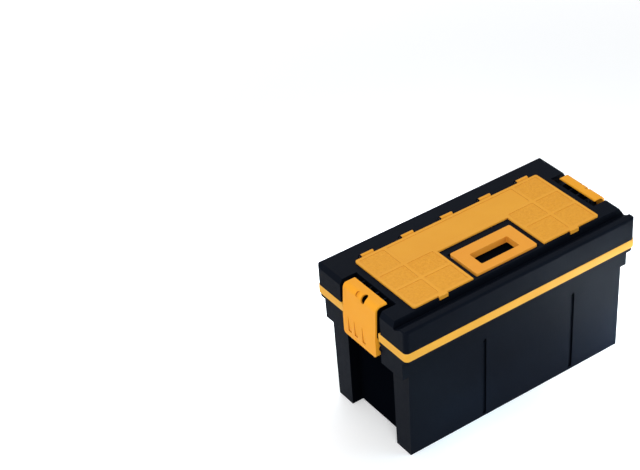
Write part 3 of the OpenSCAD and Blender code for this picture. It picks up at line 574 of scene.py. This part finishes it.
# a thin plate in each cell: a face a little inside the cell's rim, and walls that go down
def cellPanels():
    form = cleanCopy("organiser_cover")
    level = deckLevel + cell["rise"]
    dropFaces(form, [f for f in form.faces if f.calc_area() < cell["least"]
                     or abs(f.calc_center_median().z - level) > nearness["level"]
                     or f.normal.z < cell["upright"]])
    print("cells found", len(form.faces), [round(f.calc_area() * 1e6) for f in form.faces])
    dropFaces(form, [f for f in form.faces if f.calc_area() > cell["barFrom"]])
    bmesh.ops.inset_individual(form, faces=form.faces[:], thickness=cell["inset"])
    dropFaces(form, [f for f in form.faces if f.calc_area() < cell["rimBelow"]])
    bmesh.ops.translate(form, vec=(0, 0, cell["lift"]), verts=form.verts)
    down = Vector((0, 0, cell["sunk"]))
    for top in form.faces[:]:
        rim = top.verts[:]
        under = [form.verts.new(v.co - down) for v in rim]
        form.faces.new(under[::-1])
        for i, corner in enumerate(rim):
            j = (i + 1) % len(rim)
            form.faces.new((corner, under[i], under[j], rim[j]))
    return form


joinedPiece("cover_pebbled_cells", [grownMesh("cells", cellPanels(), pebbleTree(), pebble)],
            stipplePlastic, "organiser_cover")

rowsOfBars = rowTree()


def roundedBar(size, width):
    form = bmesh.new()
    bmesh.ops.create_cube(form, size=1.0)
    bmesh.ops.scale(form, vec=size, verts=form.verts)
    bmesh.ops.bevel(form, geom=form.edges[:], offset=width, offset_type="OFFSET", segments=2,
                    profile=0.5, affect="EDGES", clamp_overlap=True)
    return form


def barRow(bar, count, start, step, material):
    return grownMesh("bars", bar, rowsOfBars,
                     {"Count": count, "Start": start, "Step": step, "Material": material})


# inner face of the cover: a lip that drops into the wells, and low ribs over the walls between
inner = dict(thick=1.5 * mm, gap=1.6 * mm, corner=3.0 * mm, cornerSteps=5, sunk=0.1 * mm,
             endGap=4.0 * mm, wellWall=2.0 * mm, rounding=0.25 * mm, postCount=2,
             rowCount=2, backRow=24 * mm, frontRow=-34 * mm)


# where the lip runs: x near and far from the middle, then y of the front, back and step
def wellOutline():
    wingLow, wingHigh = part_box("right_well_tray")
    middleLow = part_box("centre_well_tray")[0]
    wall, gap = inner["wellWall"], inner["gap"]
    return (wingLow.x + wall + gap, wingHigh.x - wall - gap, wingLow.y + wall + gap,
            wingHigh.y - wall - gap, middleLow.y + wall + gap)


def coverInnerRibs():
    near, far, front, back, step = wellOutline()
    thick, gap, rounding = inner["thick"], inner["endGap"], inner["rounding"]
    level = deckLevel - thick / 2 + inner["sunk"]
    corners = [(-far, front), (-near, front), (-near, step), (near, step), (near, front),
               (far, front), (far, back), (-far, back)]
    outline = bmesh.new()
    spots = [outline.verts.new((x, y, level)) for x, y in corners]
    for i, spot in enumerate(spots):
        outline.edges.new((spot, spots[(i + 1) % len(spots)]))
    meshes = [grownMesh("lip", outline, pathTree(),
                        {"Corner": inner["corner"], "Steps": inner["cornerSteps"],
                         "Thickness": thick, "Material": yellowPlastic})]
    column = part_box("centre_well_tray")[1].x + inner["wellWall"] / 2
    post = roundedBar((thick, back - front - 2 * gap, thick), rounding)
    start = (-column, (front + back) / 2, level)
    meshes.append(barRow(post, inner["postCount"], start, (2 * column, 0, 0), yellowPlastic))
    rowStep = (0, inner["frontRow"] - inner["backRow"], 0)
    for side in (-1, 1):
        for low, high in ((near, column), (column, far)):
            bar = roundedBar((high - low - 2 * gap, thick, thick), rounding)
            start = (side * (low + high) / 2, inner["backRow"], level)
            meshes.append(barRow(bar, inner["rowCount"], start, rowStep, yellowPlastic))
    return meshes


joinedPiece("cover_inner_ribs", coverInnerRibs(), yellowPlastic, "organiser_cover")

# crossed ribs that stiffen the floor of the base from below, between the foot rails
foot = dict(floor=4 * mm, thick=2.0 * mm, drop=2.6 * mm, lessAlong=0.4 * mm,
            rounding=0.4 * mm, sunk=0.2 * mm, across=9, along=3, reachX=240 * mm,
            reachY=113 * mm)


def baseFootRibs():
    reachX, reachY, thick, drop = (foot[k] for k in ("reachX", "reachY", "thick", "drop"))
    level = foot["floor"] - drop / 2 + foot["sunk"]
    pitchX = 2 * reachX / (foot["across"] + 1)
    pitchY = 2 * reachY / (foot["along"] + 1)
    crossBar = roundedBar((thick, 2 * reachY, drop), foot["rounding"])
    longBar = roundedBar((2 * reachX, thick, drop - foot["lessAlong"]), foot["rounding"])
    return [barRow(crossBar, foot["across"], (pitchX - reachX, 0, level), (pitchX, 0, 0),
                   blackPlastic),
            barRow(longBar, foot["along"], (0, pitchY - reachY, level), (0, pitchY, 0),
                   blackPlastic)]


joinedPiece("base_foot_ribs", baseFootRibs(), blackPlastic, bodyOf["base_tub"])

studio = dict(floorSize=9.0, floorCuts=24, floorColour=(0.80, 0.80, 0.81), floorRough=0.9,
              floorSpecular=0.1, seenColour=(1.0, 1.0, 1.0), seenStrength=1.0, lift=0.16,
              farLift=0.60, fade=(1.2, 3.2), roomColour=(0.94, 0.97, 1.0), roomStrength=0.44)


# 1 for the camera, mirrors and glass, 0 for the light that falls on the object
def seenDirectly(tree):
    path = addNode(tree, "ShaderNodeLightPath")
    seen = mathOf(tree, "ADD", path.outputs["Is Camera Ray"], path.outputs["Is Glossy Ray"])
    return mathOf(tree, "ADD", seen, path.outputs["Is Transmission Ray"])


# the floor looks white far away, and keeps the shadow near the object
def makeFloor():
    form = bmesh.new()
    bmesh.ops.create_grid(form, x_segments=studio["floorCuts"], y_segments=studio["floorCuts"],
                          size=studio["floorSize"] / 2)
    mesh = meshOf("studio_floor", form)
    material, tree, shader = newSurface("studio_floor_paper")
    seen = seenDirectly(tree)
    tree.links.new(mixColour(tree, seen, studio["floorColour"], studio["seenColour"]),
                   shader.inputs["Base Color"])
    away = addNode(tree, "ShaderNodeVectorMath", operation="LENGTH")
    tree.links.new(addNode(tree, "ShaderNodeTexCoord").outputs["Object"],
                   away.inputs["Vector"])
    lift = rangeOf(tree, away.outputs["Value"], studio["fade"],
                   (studio["lift"], studio["farLift"]), smooth=True)
    tree.links.new(mathOf(tree, "MULTIPLY", seen, lift), shader.inputs["Emission Strength"])
    fill(shader, Roughness=studio["floorRough"], Specular_IOR_Level=studio["floorSpecular"],
         Emission_Color=(1, 1, 1, 1))
    mesh.materials.append(material)
    floor = linkNew("studio_floor", mesh)


def makeWorld():
    world = bpy.data.worlds.new("studio_world")
    bpy.context.scene.world = world
    world.use_nodes = True
    tree = world.node_tree
    tree.nodes.clear()
    output = addNode(tree, "ShaderNodeOutputWorld")
    backdrop = addNode(tree, "ShaderNodeBackground")
    room = addNode(tree, "ShaderNodeBackground")
    fill(backdrop, Color=(*studio["seenColour"], 1), Strength=studio["seenStrength"])
    fill(room, Color=(*studio["roomColour"], 1), Strength=studio["roomStrength"])
    choose = addNode(tree, "ShaderNodeMixShader")
    tree.links.new(seenDirectly(tree), choose.inputs[0])
    tree.links.new(room.outputs[0], choose.inputs[1])
    tree.links.new(backdrop.outputs[0], choose.inputs[2])
    tree.links.new(choose.outputs[0], output.inputs["Surface"])


# large lamps give the plain light; low ones light the floor beside the walls, which gives the
# black walls their sheen
coolLight = (0.80, 0.91, 1.0)
lamps = {
    "key_lamp": dict(place=(-1.7, -2.2, 3.0), aim=(0, 0, 0.2), size=(2.4, 2.4), power=66.0),
    "left_lamp": dict(place=(-3.0, 0.3, 1.7), aim=(0, 0, 0.2), size=(1.8, 1.8), power=24.0),
    "side_lamp": dict(place=(1.2, -1.15, 0.75), aim=(0.3, 0, 0.2), size=(0.9, 0.9), power=7.5,
                      colour=(0.82, 0.92, 1.0)),
    "low_right_lamp": dict(place=(0.44, -0.31, 0.15), aim=(0.44, -0.31, 0),
                           size=(0.26, 0.16), power=3.6, colour=coolLight),
    "low_left_lamp": dict(place=(-0.14, -0.29, 0.12), aim=(-0.14, -0.29, 0),
                          size=(0.12, 0.10), power=0.25, colour=(0.35, 0.75, 1.0)),
    "low_back_lamp": dict(place=(0.10, 0.40, 0.20), aim=(0.10, 0.40, 0), size=(0.55, 0.22),
                          power=2.6, colour=coolLight),
    "low_end_lamp": dict(place=(0.50, 0, 0.20), aim=(0.50, 0, 0), size=(0.20, 0.25),
                         power=1.2, colour=coolLight),
    "back_lamp": dict(place=(0.6, 2.8, 2.6), aim=(0, 0, 0.3), size=(2.4, 1.6), power=22.0)}


def softLamp(name, place, aim, size, power, colour=(1, 1, 1)):
    lamp = bpy.data.lights.new(name, "AREA")
    lamp.shape = "RECTANGLE"
    lamp.size, lamp.size_y = size
    lamp.energy = power
    lamp.color = colour
    holder = linkNew(name, lamp)
    holder.location = place
    holder.visible_camera = False
    holder.rotation_euler = (Vector(aim) - Vector(place)).to_track_quat("-Z", "Y").to_euler()


# angles in degrees, focal length and frame width in pixels, sensor in millimetres, the rest
# in metres
shot = dict(place=(-1.786, -2.244, 2.451), yaw=32.11, pitch=35.89, roll=-4.70,
            focal=1728.0, across=640.0, sensor=36.0, nearest=0.05, furthest=60.0)


def makeCamera():
    yaw, pitch, roll = (math.radians(shot[k]) for k in ("yaw", "pitch", "roll"))
    ahead = Vector((math.sin(yaw) * math.cos(pitch), math.cos(yaw) * math.cos(pitch),
                    -math.sin(pitch)))
    right = Vector((math.cos(yaw), -math.sin(yaw), 0))
    up = right.cross(ahead)
    rightTurned = math.cos(roll) * right + math.sin(roll) * up
    upTurned = -math.sin(roll) * right + math.cos(roll) * up
    optics = bpy.data.cameras.new("studio_camera")
    optics.sensor_width = shot["sensor"]
    optics.lens = shot["focal"] * shot["sensor"] / shot["across"]
    optics.clip_start, optics.clip_end = shot["nearest"], shot["furthest"]
    camera = linkNew("studio_camera", optics)
    turned = Matrix((rightTurned, upTurned, -ahead)).transposed().to_4x4()
    camera.matrix_world = Matrix.Translation(Vector(shot["place"])) @ turned
    bpy.context.scene.camera = camera


makeFloor()
makeWorld()
for name, settings in lamps.items():
    softLamp(name, **settings)
makeCamera()
bpy.context.scene.view_settings.view_transform = "Standard"
print("studio made")
